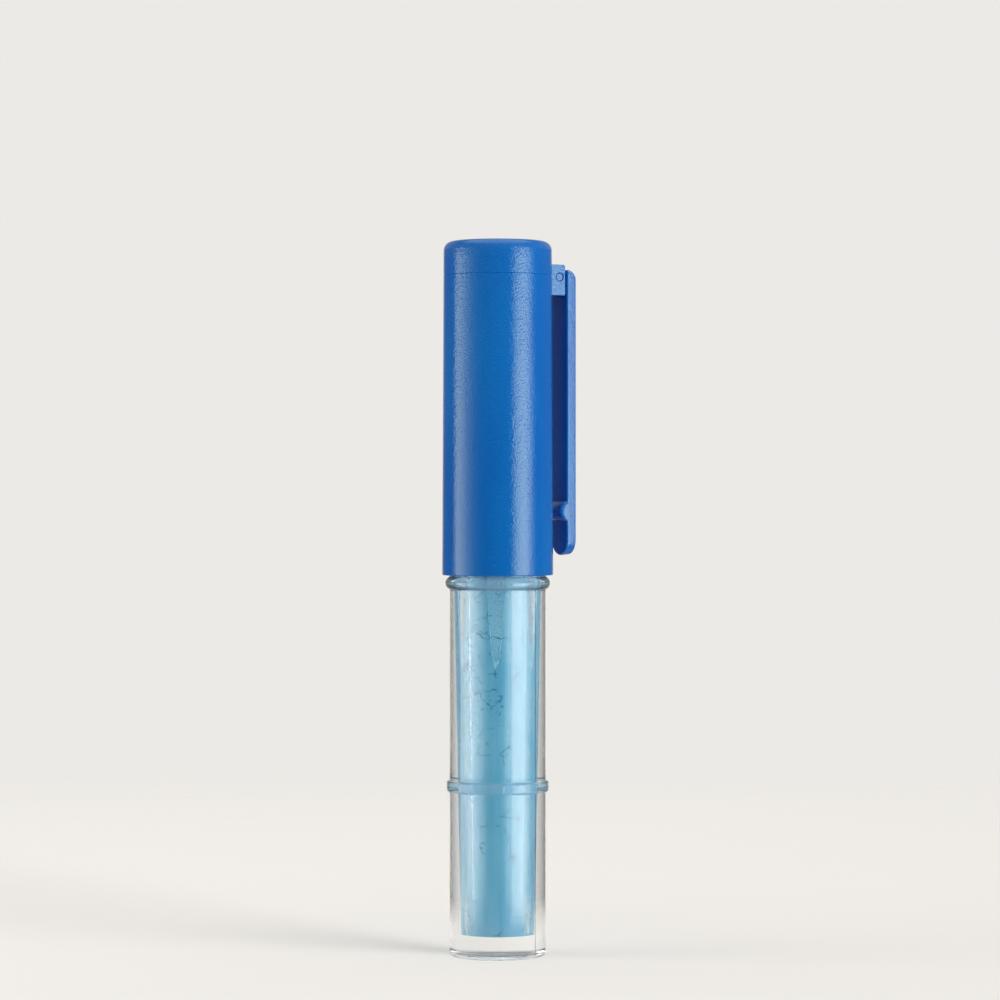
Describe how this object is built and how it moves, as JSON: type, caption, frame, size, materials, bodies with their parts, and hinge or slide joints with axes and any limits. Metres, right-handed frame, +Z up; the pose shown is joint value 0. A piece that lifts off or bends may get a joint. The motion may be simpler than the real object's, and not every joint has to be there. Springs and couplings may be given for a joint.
{
  "type": "powder chalk pen",
  "caption": "Tailor's powder chalk pen: clear barrel of chalk powder, nose with a toothed marking wheel, push-on cap with a pocket clip.",
  "frame": {"origin": "centre of the foot, on the pen's axis, where it stands", "axes": "+Z up the pen's axis towards the cap, -Y to the front, the pocket clip at 30 degrees from +X towards +Y"},
  "size_m": [0.0216, 0.0178, 0.1149],
  "materials": {
    "clear_plastic": "clear, polished",
    "chalk": "packed powder",
    "blue_plastic": "satin gloss, moulded",
    "steel": "brushed"
  },
  "bodies": {
    "barrel": {"barrel": "clear_plastic", "chalk_powder": "chalk"},
    "nose": {"nose_plug": "blue_plastic", "fork_front": "blue_plastic", "fork_back": "blue_plastic", "wheel_axle": "steel"},
    "wheel": {"marking_wheel": "steel"},
    "cap": {"cap_shell": "blue_plastic", "cap_crown": "blue_plastic"},
    "clip": {"pocket_clip": "blue_plastic"}
  },
  "joints": [
    {"name": "nose_pull", "type": "slide", "parent": "barrel", "child": "nose", "axis": [0, 0, 1], "range_m": [0, 0.02]},
    {"name": "wheel_spin", "type": "hinge", "parent": "nose", "child": "wheel", "pos_m": [0, 0, 0.0965], "axis": [0, 1, 0], "continuous": true},
    {"name": "cap_pull", "type": "slide", "parent": "nose", "child": "cap", "axis": [0, 0, 1], "range_m": [0, 0.06]},
    {"name": "clip_flex", "type": "hinge", "parent": "cap", "child": "clip", "pos_m": [0.0088, 0.00508, 0.1094], "axis": [0.5, -0.866, 0], "range_deg": [0, 4], "stiffness_Nm_per_rad": 0.8}
  ]
}
